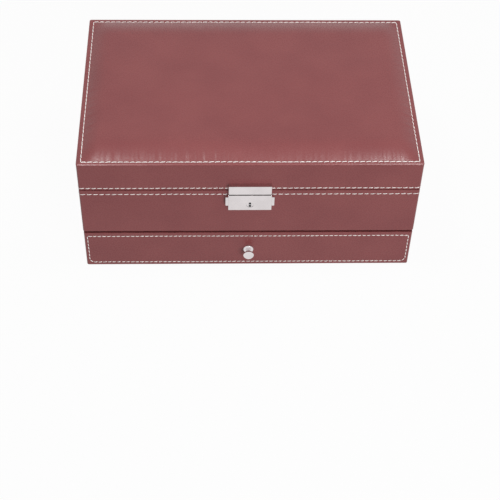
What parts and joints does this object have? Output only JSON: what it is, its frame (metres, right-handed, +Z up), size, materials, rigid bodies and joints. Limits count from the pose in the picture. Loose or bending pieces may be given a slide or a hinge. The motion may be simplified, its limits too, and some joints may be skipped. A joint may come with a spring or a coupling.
{
  "type": "watch storage case",
  "caption": "Leather-covered watch case with a padded hinged lid, a tray of cushioned cells, a lined drawer with a round knob, and a snap lock with two pinch ears.",
  "frame": {"origin": "centre of the underside, on the surface the case stands on", "axes": "+X along the front to the viewer's right, -Y out of the front, +Z up"},
  "size_m": [0.3, 0.2114, 0.135],
  "materials": {
    "leather": "fine-grained, semi-gloss",
    "board": "raw fibreboard",
    "velvet": "short-pile velvet",
    "velvet_pad": "short-pile velvet over foam",
    "foam": "open-cell foam",
    "base_felt": "pressed felt",
    "plated_metal": "polished plate",
    "steel": "plain"
  },
  "bodies": {
    "case": {"bottom_board": "board", "bottom_felt": "base_felt", "case_leather": "leather", "cross_divider_1": "velvet", "cross_divider_2": "velvet", "cross_divider_3": "velvet", "cross_divider_4": "velvet", "cross_divider_5": "velvet", "front_board": "board", "hinge_leather": "leather", "hinge_lining": "velvet", "keyhole_post": "steel", "left_catch_spring": "steel", "left_side_board": "board", "lock_back_plate": "steel", "lock_case": "plated_metal", "lock_screws": "steel", "long_divider": "velvet", "rear_board": "board", "rear_leather": "leather", "right_catch_spring": "steel", "right_side_board": "board", "tray_floor_board": "board", "tray_lining": "velvet", "watch_pillow_1": "velvet_pad", "watch_pillow_10": "velvet_pad", "watch_pillow_11": "velvet_pad", "watch_pillow_12": "velvet_pad", "watch_pillow_2": "velvet_pad", "watch_pillow_3": "velvet_pad", "watch_pillow_4": "velvet_pad", "watch_pillow_5": "velvet_pad", "watch_pillow_6": "velvet_pad", "watch_pillow_7": "velvet_pad", "watch_pillow_8": "velvet_pad", "watch_pillow_9": "velvet_pad"},
    "lid": {"hasp": "plated_metal", "hasp_screws": "steel", "lid_front_board": "board", "lid_leather": "leather", "lid_rear_board": "board", "lid_rear_leather": "leather", "lid_roof_pad": "velvet_pad", "lid_side_boards": "board", "lid_top_board": "board", "lid_wall_lining": "velvet", "top_cover": "leather", "top_pad": "foam"},
    "drawer": {"drawer_bottom": "board", "drawer_box": "board", "drawer_dividers": "velvet", "drawer_front_board": "board", "drawer_front_leather": "leather", "drawer_knob": "plated_metal", "drawer_lining": "velvet", "knob_screw": "steel", "ring_rolls": "velvet_pad"},
    "left_catch": {"left_catch": "plated_metal"},
    "right_catch": {"right_catch": "plated_metal"},
    "key_plug": {"key_plug": "plated_metal"}
  },
  "joints": [
    {"name": "lid_hinge", "type": "hinge", "parent": "case", "child": "lid", "pos_m": [0, 0.0995, 0.0984], "axis": [-1, 0, 0], "range_deg": [0, 100], "deforming": ["hinge_leather", "hinge_lining"]},
    {"name": "drawer_slide", "type": "slide", "parent": "case", "child": "drawer", "axis": [0, -1, 0], "range_m": [0, 0.14]},
    {"name": "left_catch_press", "type": "slide", "parent": "case", "child": "left_catch", "axis": [1, 0, 0], "range_m": [0, 0.0024], "stiffness_N_per_m": 800, "springref_m": -0.001, "deforming": ["left_catch_spring"]},
    {"name": "right_catch_press", "type": "slide", "parent": "case", "child": "right_catch", "axis": [-1, 0, 0], "range_m": [0, 0.0024], "stiffness_N_per_m": 800, "springref_m": -0.001, "deforming": ["right_catch_spring"]},
    {"name": "key_turn", "type": "hinge", "parent": "case", "child": "key_plug", "pos_m": [0, -0.1, 0.0848], "axis": [0, 1, 0], "range_deg": [0, 90]}
  ]
}
